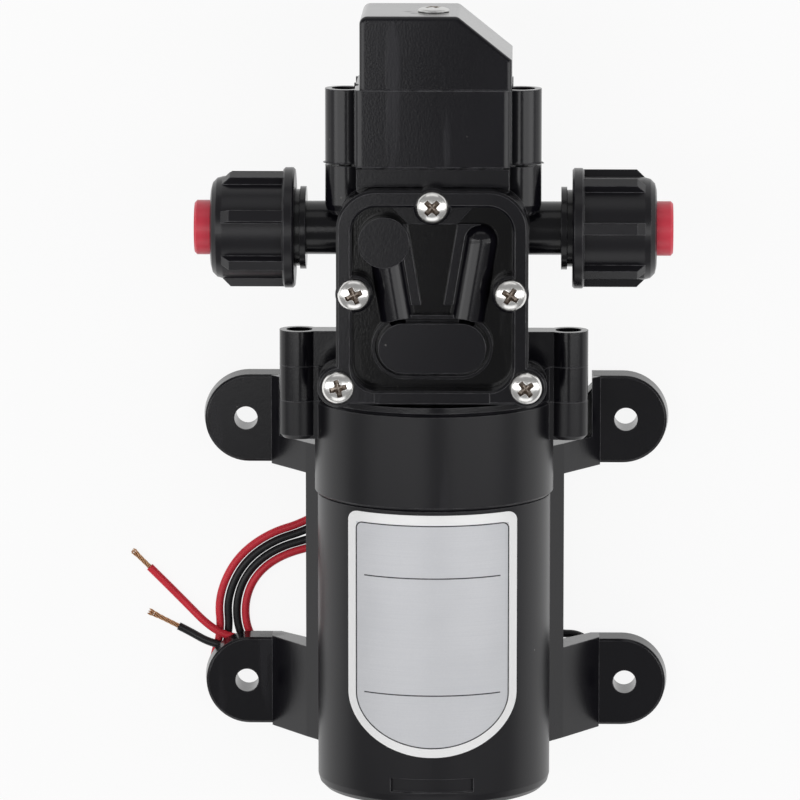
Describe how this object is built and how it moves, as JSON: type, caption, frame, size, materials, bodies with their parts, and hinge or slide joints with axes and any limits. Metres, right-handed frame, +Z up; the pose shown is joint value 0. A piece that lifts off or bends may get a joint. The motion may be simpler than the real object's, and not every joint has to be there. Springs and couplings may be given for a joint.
{
  "type": "caravan water pump",
  "caption": "Small black 12 V diaphragm water pump on an eared saddle foot, with a ribbed union nut and red release collet on each hose port and a pressure switch at one end.",
  "frame": {"origin": "middle of the four foot holes, on the surface that the feet stand on", "axes": "+X across the two hose ports, +Y along the motor shaft towards the pressure switch, +Z up from the feet"},
  "size_m": [0.1141, 0.164, 0.0583],
  "materials": {
    "black_cradle": "semi-gloss moulded polypropylene",
    "black_jacket": "smooth moulded plastic",
    "black_body": "satin moulded polyamide",
    "black_nut": "satin moulded polyamide",
    "black_switch": "fine-grained moulded plastic",
    "red_collet": "glossy acetal",
    "silver_label": "printed foil",
    "zinc_steel": "zinc-plated",
    "nickel_steel": "nickel-plated",
    "can_steel": "drawn and plated",
    "shaft_steel": "ground",
    "bearing_steel": "ground",
    "laminations": "stacked steel sheet",
    "magnet": "sintered ferrite",
    "copper": "bare copper",
    "enamelled_copper": "enamelled wire",
    "carbon": "pressed carbon",
    "bronze": "sintered bronze",
    "spring_steel": "bright",
    "black_rubber": "matt rubber",
    "white_plastic": "natural acetal",
    "cast_zinc": "die cast",
    "tin_brass": "tinned",
    "red_insulation": "soft insulation",
    "black_insulation": "soft insulation"
  },
  "bodies": {
    "pump": {"foot_cradle": "black_cradle", "motor_jacket": "black_jacket", "rating_label": "silver_label", "front_collar": "black_body", "bearing_plate": "black_body", "pump_body": "black_body", "head_gasket": "black_rubber", "head_cover": "black_body", "valve_plate": "white_plastic", "inlet_valve": "black_rubber", "outlet_valve": "black_rubber", "diaphragm": "black_rubber", "main_bearing_outer": "bearing_steel", "motor_can": "can_steel", "motor_magnets": "magnet", "motor_end_cap": "white_plastic", "carbon_brushes": "carbon", "brush_springs": "spring_steel", "front_bushing": "bronze", "rear_bushing": "bronze", "left_o_ring": "black_rubber", "right_o_ring": "black_rubber", "switch_housing": "black_switch", "switch_cap": "black_switch", "switch_diaphragm": "black_rubber", "switch_spring": "spring_steel", "microswitch": "white_plastic", "terminals": "tin_brass", "head_screws": "nickel_steel", "body_screws": "zinc_steel", "motor_screws": "zinc_steel", "switch_screws": "zinc_steel", "cap_screw": "zinc_steel", "cradle_screws": "zinc_steel", "lead_grommet": "black_rubber", "red_lead": "red_insulation", "black_lead": "black_insulation", "bare_strands": "copper"},
    "rotor": {"motor_shaft": "shaft_steel", "armature": "laminations", "windings": "enamelled_copper", "commutator": "copper", "eccentric": "cast_zinc", "main_bearing_inner": "bearing_steel", "crank_bearing_inner": "bearing_steel"},
    "rod": {"connecting_rod": "white_plastic", "crank_bearing_outer": "bearing_steel", "diaphragm_retainer": "white_plastic", "retainer_screw": "zinc_steel"},
    "left_cartridge": {"left_spacer": "white_plastic", "left_grab_ring": "spring_steel"},
    "left_nut": {"left_union_nut": "black_nut"},
    "left_collet": {"left_release_collet": "red_collet"},
    "right_cartridge": {"right_spacer": "white_plastic", "right_grab_ring": "spring_steel"},
    "right_nut": {"right_union_nut": "black_nut"},
    "right_collet": {"right_release_collet": "red_collet"},
    "plunger": {"switch_plunger": "white_plastic"},
    "button": {"microswitch_button": "red_collet"}
  },
  "joints": [
    {"name": "rotor_spin", "type": "hinge", "parent": "pump", "child": "rotor", "pos_m": [0, 0, 0.03], "axis": [0, 1, 0], "continuous": true},
    {"name": "rod_big_end", "type": "hinge", "parent": "rotor", "child": "rod", "pos_m": [0, 0.0575, 0.0285], "axis": [0, 1, 0], "continuous": true, "deforming": ["diaphragm"]},
    {"name": "switch_plunger_slide", "type": "slide", "parent": "pump", "child": "plunger", "axis": [0, 1, 0], "range_m": [0, 0.0006], "stiffness_N_per_m": 800, "springref_m": -0.002, "deforming": ["switch_spring"]},
    {"name": "microswitch_button_slide", "type": "slide", "parent": "pump", "child": "button", "axis": [0, 1, 0], "range_m": [0, 0.0006]},
    {"name": "left_nut_travel", "type": "slide", "parent": "pump", "child": "left_cartridge", "axis": [-1, 0, 0], "range_m": [0, 0.0106]},
    {"name": "left_nut_turn", "type": "hinge", "parent": "left_cartridge", "child": "left_nut", "pos_m": [-0.037, 0.0725, 0.036], "axis": [-1, 0, 0], "range_deg": [0, 1910]},
    {"name": "left_collet_release", "type": "slide", "parent": "left_cartridge", "child": "left_collet", "axis": [1, 0, 0], "range_m": [0, 0.0015]},
    {"name": "right_nut_travel", "type": "slide", "parent": "pump", "child": "right_cartridge", "axis": [1, 0, 0], "range_m": [0, 0.0106]},
    {"name": "right_nut_turn", "type": "hinge", "parent": "right_cartridge", "child": "right_nut", "pos_m": [0.037, 0.0725, 0.036], "axis": [1, 0, 0], "range_deg": [0, 1910]},
    {"name": "right_collet_release", "type": "slide", "parent": "right_cartridge", "child": "right_collet", "axis": [-1, 0, 0], "range_m": [0, 0.0015]}
  ],
  "couplings": [
    {"joint": "rod_big_end", "follows": "rotor_spin", "ratio": -1},
    {"joint": "microswitch_button_slide", "follows": "switch_plunger_slide", "ratio": 1},
    {"joint": "left_nut_turn", "follows": "left_nut_travel", "rad_per_m": 3141.6},
    {"joint": "right_nut_turn", "follows": "right_nut_travel", "rad_per_m": 3141.6}
  ]
}
